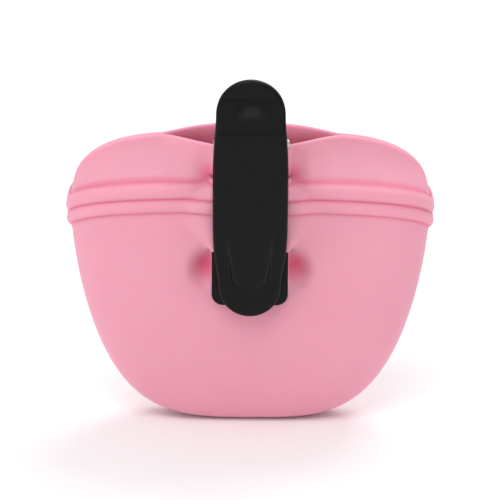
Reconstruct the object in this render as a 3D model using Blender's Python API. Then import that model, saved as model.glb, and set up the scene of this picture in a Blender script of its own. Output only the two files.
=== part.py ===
"""Silicone treat pouch with a magnetic mouth and a sprung belt clip.

Metres, +Z up. The front faces -Y and the clip is on the back, towards +Y. The sizes below are in
the pouch's own frame: x = 0 is its middle, y = 0 the seam plane through its two sides and z = 0 its
lowest point. The finished model is moved so that its origin is where a belt's top edge sits.
"""

import math

import bmesh
import bpy
from mathutils import Matrix, Vector

# --- Pouch: driving dimensions -------------------------------------------------------------------
HALF_WIDTH = 0.0637  # widest half width of the body, without the ribs
WIDE_Z = 0.078  # height of the side ends at the widest level
LIP_SIDE_Z = 0.088  # height at which the two lips meet at each side
TOP_Z = 0.105  # middle of the mouth's rim
LIP_NARROWING = 0.0015  # how much narrower the rim is than the widest level
BELLY_DEPTH = 0.019  # half depth of the belly, outside
WALL = 0.002
BOTTOM_POWER = 1.55  # the side outline is a superellipse with these two powers
SIDE_POWER = 3.95
SECTION_POWER = 3.2  # squareness of a horizontal section
DEPTH_POWER = 0.42  # how fast the depth grows from the bottom
RING_RISE = 0.0108  # a ring runs this much higher at the middle than at its side ends
RING_RISE_FULL_Z = 0.066
ARCH_POWER = 1.3
LIP_ARCH_POWERS = (4.65, 0.6)  # how the rim falls towards its two ends
LIP_RISE_Z = 0.0815  # side-end height above which the rings rise faster, up to the rim's arch
LIP_RISE_POWER = 1.4

# --- Pouch: mouth --------------------------------------------------------------------------------
LIP_START_Z = 0.079  # side-end height at which the section starts to close into the mouth
LIP_HALF_THICKNESS = 0.00225  # half of both walls and of the slit between them
FRONT_MOUTH_HALF_WIDTH = 0.031
FRONT_LIP_Y = 0.0142
BACK_MOUTH_HALF_WIDTH = 0.0315
BACK_FLAT_HALF_WIDTH = 0.012  # the back lip lies flat on the clip's plate over this half width
BACK_LIP_Y = 0.0168
LIP_SOFTNESS = 0.35  # how rounded the lips' bends are at the mouth's corners

# --- Pouch: two raised ribs round the whole body ----------------------------------------------------
RIBS = ((0.0729, 0.0025), (0.0783, 0.0029))  # middle height at the side ends, and half height
RIB_HEIGHT = 0.0016

# --- Pouch: strap and slits for the clip -------------------------------------------------------------
SLIT_LOW_Z = 0.0570  # side-end heights of the rings that the slits lie on
SLIT_HIGH_Z = 0.0825
SLIT_HALF_WIDTH = 0.0147
PASS_HALF_WIDTH = 0.0135  # half width over which the walls are at their full offset
STRAP_Y = 0.0216  # outside of the strap over the plate
SEAT_Y = 0.0168  # outside of the wall behind the plate
STRAP_SPREAD = 0.010  # how much wider the strap's bulge is halfway up
DENT_SPREAD = 0.018
DENT_FADE_Z = (0.026, 0.046)
FOOT_DIMPLE = (0.0154, 0.0600, 0.0080, 0.0100, 0.0032)  # x, z, half width, half height and depth
SLIT_DIMPLE = (0.0150, 0.0960, 0.0070, 0.0110, 0.0026)  # beside the foot, and at the upper slit's ends

# --- Front lip -----------------------------------------------------------------------------------
FLEX_HALF_WIDTH = 0.012
FLEX_GAP = 0.0004
FLEX_BOTTOM_Z = 0.0493  # side-end height of the lip piece's lower edge
NOTCH_BOTTOM_Z = 0.0485
FLEX_AXIS = Vector((0.0, -0.018, 0.060))

# --- Magnets -------------------------------------------------------------------------------------
MAGNET_LEVEL = 0.0850  # side-end height of the ring that the magnets' centres lie on
MAGNET_RADIUS = 0.0028
MAGNET_THICKNESS = 0.0008
POCKET_RADIUS = 0.00315
POCKET_DEPTH = 0.0013
POCKET_FLOOR_GAP = 0.0003

# --- Clip ----------------------------------------------------------------------------------------
PIN = Vector((0.0, 0.024, 0.108))
PIN_RADIUS = 0.0015
PIN_ENDS = (-0.0136, 0.0130)
HOLE_RADIUS = 0.00185
EAR_RADIUS = 0.0036
PLATE_IN, PLATE_OUT = 0.0171, 0.0193
PLATE_FOOT_Z, PLATE_SHOULDER_Z, PLATE_TOP_Z = 0.0470, 0.0673, 0.1240
PLATE_BEND_Z, PLATE_LEAN = 0.112, 0.14
FOOT_HALF_WIDTH, FOOT_CORNER = 0.01345, 0.004
PLATE_HALF_WIDTH = 0.0122
PLATE_EARS = (0.0074, 0.0098)
LEVER_EARS = (0.0104, 0.0127)
LEVER_TIP_Z, LEVER_TOP_Z = 0.0444, 0.1313
LEVER_TOP_RADIUS, LEVER_TIP_RADIUS = 0.0121, 0.0109
LEVER_WIDEST_Z, LEVER_HALF_WIDTH = 0.095, 0.0131
LEVER_OUT, LEVER_THICKNESS = 0.0310, 0.0026
CREASE_Z, CAP_Z, CAP_Y = 0.1133, 0.1230, 0.0268
TONGUE_TOP_Z, TONGUE_END_Z = 0.086, 0.0555
TONGUE_HALF_WIDTHS = (0.0088, 0.0058)
JAW_Z, JAW_HALF_HEIGHT, JAW_Y = 0.0510, 0.0030, 0.01965

# --- Origin: middle of the top edge of a belt in the clip ------------------------------------------
BELT_TOP = Vector((0.0, 0.0258, 0.1040))

# --- Spring --------------------------------------------------------------------------------------
SPRING_RADIUS = 0.00275
WIRE_RADIUS = 0.0005
SPRING_HALF_LENGTH = 0.0052
SPRING_TURNS = 4.5
POINTS_PER_TURN = 14
SPRING_LEG_ENDS = ((0.0204, 0.119), (0.0251, 0.1175))

SILICONE = ("silicone", (0.87, 0.33, 0.45, 1.0), 0.55, 0.0)
BLACK_PLASTIC = ("clip_plastic", (0.014, 0.014, 0.015, 1.0), 0.42, 0.0)
NICKEL = ("magnet_nickel", (0.78, 0.75, 0.72, 1.0), 0.28, 1.0)
STEEL = ("steel", (0.62, 0.62, 0.63, 1.0), 0.30, 1.0)


def smooth(value, low, high):
    """0 below low, 1 above high, and a smooth step between them."""
    share = min(1.0, max(0.0, (value - low) / (high - low)))
    return share * share * (3.0 - 2.0 * share)


# --- The pouch's surface ---------------------------------------------------------------------------
# A ring is named by its level, the height of its two side ends. c runs from -1 to 1 across it.


def fullness(level):
    """0 at the bottom, 1 at the widest level and above."""
    below = max(0.0, (WIDE_Z - level) / WIDE_Z)
    return math.sqrt(max(0.0, 1.0 - below**BOTTOM_POWER))


def half_width(level):
    above = max(0.0, (level - WIDE_Z) / (LIP_SIDE_Z - WIDE_Z))
    return HALF_WIDTH * fullness(level) ** (2.0 / SIDE_POWER) - LIP_NARROWING * above * above


def level_of_width(width):
    """The level below the widest one at which the body has this half width."""
    return WIDE_Z * (1.0 - (1.0 - (width / HALF_WIDTH) ** SIDE_POWER) ** (1.0 / BOTTOM_POWER))


def ring_height(level, c):
    c = abs(c)
    above = (max(0.0, level - LIP_RISE_Z) / (LIP_SIDE_Z - LIP_RISE_Z)) ** LIP_RISE_POWER
    lip_rise = TOP_Z - LIP_SIDE_Z
    rise = RING_RISE * math.sin(math.pi / 2 * min(1.0, level / RING_RISE_FULL_Z))
    rise += (lip_rise - RING_RISE) * above
    body_arch = (1.0 - c**SECTION_POWER) ** (ARCH_POWER / SECTION_POWER)
    lip_arch = (1.0 - c**LIP_ARCH_POWERS[0]) ** LIP_ARCH_POWERS[1]
    return level + rise * ((1.0 - above) * body_arch + above * lip_arch)


def rib(level):
    """Height of the ribs at a level, square to the body."""
    total = 0.0
    for centre, half_height in RIBS:
        off = (level - centre) / half_height
        total += RIB_HEIGHT * max(0.0, 1.0 - off * off) ** 0.6
    return total


def ring_x(level, c, inset):
    """Columns near the middle stay at one x from the strap's level up, and the rest follow the width."""
    width = half_width(level) - inset
    steady = smooth(level, 0.030, 0.048) * (1.0 - smooth(abs(c), 0.3, 0.7))
    return c * (width + (HALF_WIDTH - width) * steady)


def lip_bow(x, back):
    """How far a lip stands away from the other: 1 in the middle of the mouth and 0 past its ends."""
    if back > 0:
        share = (BACK_MOUTH_HALF_WIDTH - abs(x)) / (BACK_MOUTH_HALF_WIDTH - BACK_FLAT_HALF_WIDTH)
    else:
        share = 1.0 - (x / FRONT_MOUTH_HALF_WIDTH) ** 2
    share = min(1.0, max(0.0, share))
    return share + LIP_SOFTNESS * (smooth(share, 0.0, 1.0) - share)


def clip_shift(x, y, z, level, strap):
    """How far the back wall is pushed along Y, by the plate behind the strap or in front of the wall."""
    if strap:
        share = (level - SLIT_LOW_Z) / (SLIT_HIGH_Z - SLIT_LOW_Z)
        reach = SLIT_HALF_WIDTH + STRAP_SPREAD * math.sin(math.pi * min(1.0, max(0.0, share)))
        return (STRAP_Y - y) * (1.0 - smooth(abs(x), PASS_HALF_WIDTH, reach))
    if level < SLIT_LOW_Z:
        away = smooth(SLIT_LOW_Z - level, 0.0, 0.012)
        reach = SLIT_HALF_WIDTH + DENT_SPREAD * away
        fade = smooth(z, *DENT_FADE_Z)
    else:
        reach = SLIT_HALF_WIDTH + STRAP_SPREAD * smooth(level - SLIT_HIGH_Z, 0.0, 0.006)
        fade = 1.0
    return min(0.0, SEAT_Y - y) * fade * (1.0 - smooth(abs(x), PASS_HALF_WIDTH, reach))


def dimple(x, z):
    """How far the back wall is drawn in beside the clip."""
    total = 0.0
    for across, up, half_wide, half_high, depth in (FOOT_DIMPLE, SLIT_DIMPLE):
        away = ((abs(x) - across) / half_wide) ** 2 + ((z - up) / half_high) ** 2
        total += depth * max(0.0, 1.0 - away) ** 2
    return total * smooth(abs(x), PASS_HALF_WIDTH, SLIT_HALF_WIDTH)


def pouch_point(level, c, back, inside, strap=False):
    """A point of the pouch's outer or inner surface. back is 1 behind the seam plane and -1 in front."""
    inset = WALL if inside else 0.0
    x = ring_x(level, c, inset)
    edge = abs(c)
    depth = BELLY_DEPTH * fullness(level) ** DEPTH_POWER - inset
    belly = depth * (1.0 - edge**SECTION_POWER) ** (1.0 / SECTION_POWER)
    lip_y = BACK_LIP_Y if back > 0 else FRONT_LIP_Y
    lip = (LIP_HALF_THICKNESS - inset) * math.sqrt(1.0 - edge**14)
    lip += (lip_y - LIP_HALF_THICKNESS) * lip_bow(x, back)
    closing = smooth(level, LIP_START_Z, LIP_SIDE_Z)
    y = belly + (lip - belly) * closing
    z = ring_height(level, c) + inset * (1.0 - smooth(level, 0.0, 0.025))
    if back > 0:
        outer_y = y + inset
        y += clip_shift(x, outer_y, z, level, strap) - dimple(x, z)
    if not inside and rib(level) > 0.0:
        side_on = edge**8
        x += math.copysign(rib(level) * side_on, c)
        y += rib(level) * math.sqrt(max(0.0, 1.0 - side_on * side_on))
    return Vector((x, back * y, z))


# --- Mesh helpers ----------------------------------------------------------------------------------


def material(look):
    name, colour, roughness, metallic = look
    found = bpy.data.materials.get(name)
    if found:
        return found
    made = bpy.data.materials.new(name)
    made.use_nodes = True
    shader = made.node_tree.nodes["Principled BSDF"]
    shader.inputs["Base Color"].default_value = colour
    shader.inputs["Roughness"].default_value = roughness
    shader.inputs["Metallic"].default_value = metallic
    made.diffuse_color = colour
    return made


def finish_object(name, bm, look):
    bmesh.ops.recalc_face_normals(bm, faces=bm.faces)
    mesh = bpy.data.meshes.new(name)
    bm.to_mesh(mesh)
    bm.free()
    mesh.shade_smooth()
    mesh.set_sharp_from_angle(angle=math.radians(40))
    made = bpy.data.objects.new(name, mesh)
    bpy.context.scene.collection.objects.link(made)
    made.data.materials.append(material(look))
    return made


def set_origin(obj, origin):
    """Move the object's origin without moving its shape."""
    obj.data.transform(Matrix.Translation(-origin))
    obj.location = origin


def thick_sheet(cells, place):
    """A closed sheet. Each cell is a loop of keys, and place(key, inside) gives a key's two points."""
    bm = bmesh.new()
    made = {}

    def vertex(key, inside):
        if (key, inside) not in made:
            made[key, inside] = bm.verts.new(place(key, inside))
        return made[key, inside]

    edges = set()
    for cell in cells:
        bm.faces.new([vertex(key, False) for key in cell])
        bm.faces.new([vertex(key, True) for key in reversed(cell)])
        edges.update(zip(cell, cell[1:] + cell[:1]))
    for start, end in edges:
        if (end, start) not in edges:
            bm.faces.new(
                [vertex(end, False), vertex(start, False), vertex(start, True), vertex(end, True)]
            )
    return bm


def add_boolean(obj, cutter, operation):
    """Apply a Boolean with the cutter, and remove the cutter."""
    step = obj.modifiers.new(operation.title(), "BOOLEAN")
    step.operation = operation
    step.object = cutter
    evaluated = obj.evaluated_get(bpy.context.evaluated_depsgraph_get())
    mesh = bpy.data.meshes.new_from_object(evaluated)
    obj.modifiers.clear()
    obj.data = mesh
    bpy.data.objects.remove(cutter)


def cylinder(name, radius, start, end, look, segments=24):
    bm = bmesh.new()
    axis = end - start
    turn = axis.to_track_quat("Z", "Y").to_matrix().to_4x4()
    bmesh.ops.create_cone(
        bm,
        cap_ends=True,
        segments=segments,
        radius1=radius,
        radius2=radius,
        depth=axis.length,
        matrix=Matrix.Translation((start + end) / 2) @ turn,
    )
    return finish_object(name, bm, look)


def prism(name, outline, x_low, x_high, look):
    """An outline of (y, z) points, extruded along X."""
    bm = bmesh.new()
    face = bm.faces.new([bm.verts.new((x_low, y, z)) for y, z in outline])
    grown = bmesh.ops.extrude_face_region(bm, geom=[face])["geom"]
    moved = [item for item in grown if isinstance(item, bmesh.types.BMVert)]
    bmesh.ops.translate(bm, verts=moved, vec=(x_high - x_low, 0.0, 0.0))
    return finish_object(name, bm, look)


# --- Pouch -----------------------------------------------------------------------------------------


def pouch_levels(start=0.0):
    """Ring levels: even steps in width over the bottom, then in height, with the ribs drawn finely."""
    levels = [level_of_width(0.004 + 0.006 * step) for step in range(8)]
    levels += [0.0205, 0.0265, 0.0335, 0.0410, NOTCH_BOTTOM_Z, SLIT_LOW_Z, 0.0620]
    for centre, half_height in RIBS:
        levels += [centre + half_height * share for share in (-1.0, -0.5, 0.0, 0.5)]
    levels += [RIBS[1][0] + RIBS[1][1]]
    levels += [SLIT_HIGH_Z, 0.0840, 0.0855, 0.0868, LIP_SIDE_Z]
    return [level for level in levels if level > start]


def pouch_columns():
    """c of every column from side to side: the clip's and the lip's edges, and finer at the ends."""
    places = [0.006, FLEX_HALF_WIDTH + FLEX_GAP, PASS_HALF_WIDTH, SLIT_HALF_WIDTH]
    places += [0.019, 0.023, 0.028, 0.033, 0.038, 0.044, 0.050]
    half = [place / HALF_WIDTH for place in places] + [0.86, 0.92, 0.965, 0.9875, 0.997, 1.0]
    return [-c for c in reversed(half)] + [0.0] + half


def ring_loop():
    """(c, back) of the ring's points, once round: the front from -X to +X, then the back."""
    across = pouch_columns()
    front = [(c, -1) for c in across]
    behind = [(c, 1) for c in reversed(across[1:-1])]
    return front + behind


def make_pouch_body():
    levels = pouch_levels()
    loop = ring_loop()
    low, high = levels.index(SLIT_LOW_Z), levels.index(SLIT_HIGH_Z)
    notch = levels.index(NOTCH_BOTTOM_Z)
    notch_c = (FLEX_HALF_WIDTH + FLEX_GAP) / HALF_WIDTH + 1e-6
    slit_c = SLIT_HALF_WIDTH / HALF_WIDTH

    def key(row, column, on_strap):
        column %= len(loop)
        c, back = loop[column]
        split = row in (low, high) and back > 0 and abs(c) < slit_c - 1e-6
        return row, column, on_strap if split else low < row < high

    def place(name, inside):
        if name == "pole":
            return Vector((0.0, 0.0, WALL if inside else 0.0))
        row, column, on_strap = name
        c, back = loop[column]
        return pouch_point(levels[row], c, back, inside, strap=on_strap)

    cells = []
    for column in range(len(loop)):
        cells.append(["pole", key(0, column + 1, False), key(0, column, False)])
        ends = [loop[column], loop[(column + 1) % len(loop)]]
        in_notch = all(back < 0 and abs(c) < notch_c for c, back in ends)
        for row in range(len(levels) - 1):
            if in_notch and row >= notch:
                continue
            on_strap = low <= row < high
            corners = [(row, column), (row, column + 1), (row + 1, column + 1), (row + 1, column)]
            cells.append([key(r, k, on_strap) for r, k in corners])
    body = finish_object("pouch_body", thick_sheet(cells, place), SILICONE)
    cut_pocket(body, 1)
    return body


def make_front_lip():
    levels = [FLEX_BOTTOM_Z] + pouch_levels(FLEX_BOTTOM_Z)
    across = [FLEX_HALF_WIDTH * step / 3 / HALF_WIDTH for step in range(-3, 4)]

    def place(key, inside):
        row, column = key
        return pouch_point(levels[row], across[column], -1, inside)

    cells = []
    for row in range(len(levels) - 1):
        for column in range(len(across) - 1):
            cells.append(
                [(row, column), (row, column + 1), (row + 1, column + 1), (row + 1, column)]
            )
    lip = finish_object("front_lip", thick_sheet(cells, place), SILICONE)
    cut_pocket(lip, -1)
    set_origin(lip, FLEX_AXIS)
    return lip


# --- Magnets ---------------------------------------------------------------------------------------


def pocket_frame(back):
    """The middle of the wall's inner face at the magnet, and the direction into the wall."""
    step = 0.001
    middle = pouch_point(MAGNET_LEVEL, 0.0, back, True)
    up = pouch_point(MAGNET_LEVEL + step, 0.0, back, True) - pouch_point(
        MAGNET_LEVEL - step, 0.0, back, True
    )
    into = Vector((1.0, 0.0, 0.0)).cross(up).normalized()
    return middle, into if into.y * back > 0 else -into


def cut_pocket(wall, back):
    middle, into = pocket_frame(back)
    cutter = cylinder(
        "pocket", POCKET_RADIUS, middle - into * WALL, middle + into * POCKET_DEPTH, SILICONE
    )
    add_boolean(wall, cutter, "DIFFERENCE")


def make_magnet(name, back):
    middle, into = pocket_frame(back)
    floor = middle + into * (POCKET_DEPTH - POCKET_FLOOR_GAP)
    magnet = cylinder(name, MAGNET_RADIUS, floor - into * MAGNET_THICKNESS, floor, NICKEL)
    edge = magnet.modifiers.new("Bevel", "BEVEL")
    edge.width = 0.00015
    edge.segments = 2
    edge.limit_method = "ANGLE"
    return magnet


# --- Clip ------------------------------------------------------------------------------------------


def ear(x_low, x_high, root_y, look):
    """A tab from the plate or the lever, with a round end about the pin."""
    turn = 1 if root_y < PIN.y else -1
    outline = [(root_y, PIN.z - EAR_RADIUS)]
    for step in range(13):
        angle = -math.pi / 2 + math.pi * step / 12
        outline.append(
            (PIN.y + turn * EAR_RADIUS * math.cos(angle), PIN.z + EAR_RADIUS * math.sin(angle))
        )
    outline.append((root_y, PIN.z + EAR_RADIUS))
    return prism("ear", outline, x_low, x_high, look)


def add_ears(obj, span, root_y):
    """A pair of ears, drilled for the pin."""
    for side in (-1, 1):
        x_low, x_high = sorted((side * span[0], side * span[1]))
        add_boolean(obj, ear(x_low, x_high, root_y, BLACK_PLASTIC), "UNION")
    reach = Vector((HALF_WIDTH, 0.0, 0.0))
    drill = cylinder("drill", HOLE_RADIUS, PIN - reach, PIN + reach, BLACK_PLASTIC)
    add_boolean(obj, drill, "DIFFERENCE")


def plate_half_width(z):
    if z < PLATE_SHOULDER_Z:
        up = max(0.0, PLATE_FOOT_Z + FOOT_CORNER - z)
        return FOOT_HALF_WIDTH - FOOT_CORNER + math.sqrt(max(0.0, FOOT_CORNER**2 - up * up))
    down = max(0.0, z - (PLATE_TOP_Z - PLATE_HALF_WIDTH))
    return math.sqrt(max(0.0, PLATE_HALF_WIDTH**2 - down * down))


def make_clip_plate():
    corner = [
        PLATE_FOOT_Z + FOOT_CORNER * (1 - math.cos(math.pi / 2 * step / 5)) for step in range(6)
    ]
    edge = 0.00001
    straight = [0.0580, PLATE_SHOULDER_Z - edge, PLATE_SHOULDER_Z + edge, 0.080, 0.095, PLATE_BEND_Z]
    round_start = PLATE_TOP_Z - PLATE_HALF_WIDTH
    top = [round_start + PLATE_HALF_WIDTH * math.sin(math.pi / 2 * step / 7) for step in range(1, 7)]
    heights = corner + straight + top

    def place(key, inside):
        row, side = key
        z = heights[row]
        lean = PLATE_LEAN * max(0.0, z - PLATE_BEND_Z)
        y = (PLATE_IN if inside else PLATE_OUT) - lean
        return Vector((side * plate_half_width(z), y, z))

    sides = (-1.0, -0.5, 0.0, 0.5, 1.0)
    cells = []
    for row in range(len(heights) - 1):
        for low, high in zip(sides, sides[1:]):
            cells.append([(row, high), (row, low), (row + 1, low), (row + 1, high)])
    plate = finish_object("clip_plate", thick_sheet(cells, place), BLACK_PLASTIC)
    add_ears(plate, PLATE_EARS, (PLATE_IN + PLATE_OUT) / 2)
    return plate


def lever_half_width(z):
    if z > LEVER_WIDEST_Z:
        width = LEVER_HALF_WIDTH - 0.001 * ((z - LEVER_WIDEST_Z) / 0.025) ** 2
    else:
        width = LEVER_HALF_WIDTH - 0.00075 * ((LEVER_WIDEST_Z - z) / 0.029) ** 3
    top_centre = LEVER_TOP_Z - LEVER_TOP_RADIUS
    tip_centre = LEVER_TIP_Z + LEVER_TIP_RADIUS
    if z > top_centre:
        return math.sqrt(max(0.0, LEVER_TOP_RADIUS**2 - (z - top_centre) ** 2))
    if z < tip_centre:
        return math.sqrt(max(0.0, LEVER_TIP_RADIUS**2 - (tip_centre - z) ** 2))
    return width


def lever_outer(z, x):
    """Outside of the lever: a flat arm, a ramp and cap above the crease, a tongue over the tip."""
    ramp = (LEVER_OUT - CAP_Y) * smooth(z, CREASE_Z - 0.004, CAP_Z + 0.004)
    flange = LEVER_OUT - 0.0068 * smooth(TONGUE_TOP_Z - z, 0.0, TONGUE_TOP_Z - 0.048) - ramp
    share = min(1.0, max(0.0, (TONGUE_TOP_Z - z) / (TONGUE_TOP_Z - TONGUE_END_Z)))
    width = TONGUE_HALF_WIDTHS[0] + (TONGUE_HALF_WIDTHS[1] - TONGUE_HALF_WIDTHS[0]) * share
    tongue = LEVER_OUT - ramp - 0.0014 * share * share - 0.0022 * (x / width) ** 2 * share
    inside = 1.0 - smooth(abs(x), width - 0.0008, width + 0.0012)
    inside *= smooth(z, TONGUE_END_Z - 0.0015, TONGUE_END_Z + 0.001)
    return flange + max(0.0, tongue - flange) * inside


def lever_inner(z, x):
    """Inside of the lever: flat behind the arm, with a ridge that grips near the tip."""
    arm = lever_outer(z, LEVER_HALF_WIDTH) - LEVER_THICKNESS
    arm = min(arm, LEVER_OUT - LEVER_THICKNESS)
    ridge = max(0.0, 1.0 - ((z - JAW_Z) / JAW_HALF_HEIGHT) ** 2)
    return arm + (JAW_Y - arm) * ridge * (1.0 - smooth(abs(x), 0.0075, 0.0095))


def make_clip_lever():
    top_centre = LEVER_TOP_Z - LEVER_TOP_RADIUS
    tip_centre = LEVER_TIP_Z + LEVER_TIP_RADIUS
    tip = [tip_centre - LEVER_TIP_RADIUS * math.cos(math.radians(a)) for a in (10, 22, 34, 47, 54, 66, 78)]
    middle = [TONGUE_END_Z - 0.0015, TONGUE_END_Z, TONGUE_END_Z + 0.001, 0.058, 0.062, 0.066, 0.071]
    middle += [0.076, 0.081, 0.086, 0.095, 0.104, 0.1095, 0.1125, 0.1150, 0.1175]
    top = [top_centre + LEVER_TOP_RADIUS * math.sin(math.radians(a)) for a in (0, 14, 28, 42, 56, 70, 82)]
    heights = sorted(tip + middle + top)
    shares = (-1.0, -0.82, -0.66, -0.5, -0.25, 0.0, 0.25, 0.5, 0.66, 0.82, 1.0)

    def place(key, inside):
        row, share = key
        z = heights[row]
        x = share * lever_half_width(z)
        return Vector((x, (lever_inner if inside else lever_outer)(z, x), z))

    cells = []
    for row in range(len(heights) - 1):
        for low, high in zip(shares, shares[1:]):
            cells.append([(row, high), (row, low), (row + 1, low), (row + 1, high)])
    lever = finish_object("clip_lever", thick_sheet(cells, place), BLACK_PLASTIC)
    add_ears(lever, LEVER_EARS, LEVER_OUT - LEVER_THICKNESS / 2)
    set_origin(lever, PIN)
    return lever


def make_hinge_pin():
    start = Vector((PIN_ENDS[0], PIN.y, PIN.z))
    end = Vector((PIN_ENDS[1], PIN.y, PIN.z))
    pin = cylinder("hinge_pin", PIN_RADIUS, start, end, STEEL)
    edge = pin.modifiers.new("Bevel", "BEVEL")
    edge.width = 0.0003
    edge.segments = 2
    edge.limit_method = "ANGLE"
    return pin


def make_torsion_spring():
    """A coil round the pin, with one leg up the plate and the other up the lever."""
    steps = round(SPRING_TURNS * POINTS_PER_TURN)
    points = [Vector((-SPRING_HALF_LENGTH, *SPRING_LEG_ENDS[0]))]
    for step in range(steps + 1):
        share = step / steps
        angle = math.pi + share * SPRING_TURNS * 2 * math.pi
        x = SPRING_HALF_LENGTH * (2 * share - 1)
        y = PIN.y + SPRING_RADIUS * math.cos(angle)
        z = PIN.z + SPRING_RADIUS * math.sin(angle)
        points.append(Vector((x, y, z)))
    points.append(Vector((SPRING_HALF_LENGTH, *SPRING_LEG_ENDS[1])))
    curve = bpy.data.curves.new("torsion_spring", "CURVE")
    curve.dimensions = "3D"
    curve.bevel_depth = WIRE_RADIUS
    curve.bevel_resolution = 2
    curve.use_fill_caps = True
    spline = curve.splines.new("POLY")
    spline.points.add(len(points) - 1)
    for target, point in zip(spline.points, points):
        target.co = (*point, 1.0)
    spring = bpy.data.objects.new("torsion_spring", curve)
    bpy.context.scene.collection.objects.link(spring)
    curve.materials.append(material(STEEL))
    return spring


def hang_from_belt():
    """Put the origin at the belt's top edge, which is what carries the pouch."""
    for piece in bpy.data.objects:
        piece.location -= BELT_TOP


def main():
    for old in list(bpy.data.objects):
        bpy.data.objects.remove(old)
    make_pouch_body()
    make_front_lip()
    make_magnet("back_magnet", 1)
    make_magnet("front_magnet", -1)
    make_clip_plate()
    make_clip_lever()
    make_hinge_pin()
    make_torsion_spring()
    hang_from_belt()


main()
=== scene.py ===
"""Looks for the treat pouch: one soft silicone skin, moulded clip, turned magnets and pin, wound spring.

Metres, +Z up. Shapes are worked out in the pouch's own frame, where x = 0 is its middle, y = 0 the
seam plane through its two sides and z = 0 its lowest point, and then moved to the row frame.
"""

import math

import bmesh
import bpy
import numpy as np
from mathutils import Matrix, Vector
from mathutils.geometry import delaunay_2d_cdt


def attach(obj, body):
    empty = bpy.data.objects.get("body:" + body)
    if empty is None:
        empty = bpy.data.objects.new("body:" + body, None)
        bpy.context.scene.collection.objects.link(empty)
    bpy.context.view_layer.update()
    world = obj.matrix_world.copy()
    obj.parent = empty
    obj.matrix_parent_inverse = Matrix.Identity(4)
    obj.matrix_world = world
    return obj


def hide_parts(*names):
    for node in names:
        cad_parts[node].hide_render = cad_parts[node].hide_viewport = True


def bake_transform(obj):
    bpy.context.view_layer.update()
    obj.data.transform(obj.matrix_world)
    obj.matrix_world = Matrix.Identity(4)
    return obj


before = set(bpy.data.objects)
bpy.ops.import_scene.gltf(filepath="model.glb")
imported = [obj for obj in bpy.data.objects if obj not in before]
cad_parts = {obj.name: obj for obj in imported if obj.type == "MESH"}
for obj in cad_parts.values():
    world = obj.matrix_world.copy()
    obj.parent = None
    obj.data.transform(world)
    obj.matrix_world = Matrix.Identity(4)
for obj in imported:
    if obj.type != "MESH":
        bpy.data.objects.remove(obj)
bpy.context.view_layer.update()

BELT_TOP = np.array((0.0, 0.0258, 0.1040))  # the row frame's origin, in the pouch's frame

# --- Pouch: the same driving sizes as the CAD --------------------------------------------------------
HALF_WIDTH = 0.0637
WIDE_Z = 0.078
LIP_SIDE_Z = 0.088
TOP_Z = 0.105
LIP_NARROWING = 0.0015
BELLY_DEPTH = 0.019
WALL = 0.002
BOTTOM_POWER = 1.55
SIDE_POWER = 3.95
SECTION_POWER = 3.2
DEPTH_POWER = 0.42
RING_RISE = 0.0108
RING_RISE_FULL_Z = 0.066
ARCH_POWER = 1.3
LIP_ARCH_POWERS = (4.65, 0.6)
LIP_RISE_Z = 0.0815
LIP_RISE_POWER = 1.4
LIP_START_Z = 0.079
LIP_HALF_THICKNESS = 0.00225
LIP_END_POWER = 14  # how suddenly the closed lips taper to their ends
FRONT_MOUTH_HALF_WIDTH = 0.031
FRONT_LIP_Y = 0.0142
BACK_MOUTH_HALF_WIDTH = 0.0315
BACK_FLAT_HALF_WIDTH = 0.012
BACK_LIP_Y = 0.0168
LIP_SOFTNESS = 0.35
RIBS = ((0.0729, 0.0025), (0.0783, 0.0029))
RIB_HEIGHT = 0.0016
RIB_ROUND_POWER = 0.6
RIB_SIDE_POWER = 8  # how near the ends the ribs turn from standing out in y to standing out in x
RIB_FILLET = 0.00035
RIB_CREASE = (0.0815, 0.0005, 0.0003)  # along the top of the upper rib: level, half height, depth
SLIT_LOW_Z = 0.0570
SLIT_HIGH_Z = 0.0825
SLIT_HALF_WIDTH = 0.0147
PASS_HALF_WIDTH = 0.0135
STRAP_Y = 0.0216
SEAT_Y = 0.0168
STRAP_SPREAD = 0.010
DENT_SPREAD = 0.018
DENT_FADE_Z = (0.026, 0.046)
DENT_BELOW_SLIT, DENT_ABOVE_SLIT = 0.012, 0.006  # how far from the slits the dent reaches its full spread
STEADY_LEVELS, STEADY_SHARES = (0.030, 0.048), (0.3, 0.7)  # where the columns run straight up
FLOOR_FADE_LEVEL = 0.025  # below it the inner surface rises to leave a floor
FOOT_DIMPLE = (0.0154, 0.0600, 0.0080, 0.0100, 0.0032)
SLIT_DIMPLE = (0.0150, 0.0960, 0.0070, 0.0110, 0.0026)

# --- Pouch: finish of the edges ----------------------------------------------------------------------
RIM_DROP = 0.0004  # the rim's last ring lies this much lower, so that its round top is at the CAD's height
RIM_BULGE = 0.0010
SLIT_OPENING = 0.0003  # half of the gap between the strap's edge and the wall's
SLIT_BULGE = 0.0007
EDGE_STEPS = 6
WAVE_HEIGHT = 0.00010  # soft walls aren't perfectly even
WAVES = ((1.0, 97.0, 61.0, 1.3), (0.7, 173.0, -88.0, 2.1))  # share, radians per metre in x and z, shift
WAVE_CLEAR_OF_CLIP, WAVE_FADE_Z, WAVE_EDGE_POWER = (0.018, 0.036), (0.004, 0.025), 6
BLUR_STEPS = 9  # samples taken where a profile is averaged to round its corners

# --- Pouch: rows and columns of the skin, as (first, end, step) where there are three ----------------------
BOTTOM_WIDTHS = (0.0015, 0.0525, 0.0024)  # the lowest rows lie at these half widths
BELLY_STEP, LIP_STEP = 0.0011, 0.00018
SLIT_ROWS = (-0.0015, -0.0009, 0.0, 0.0009, 0.0015)  # about the lower slit
STRAP_ROWS, RIB_ROWS = 9, 42
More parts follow.
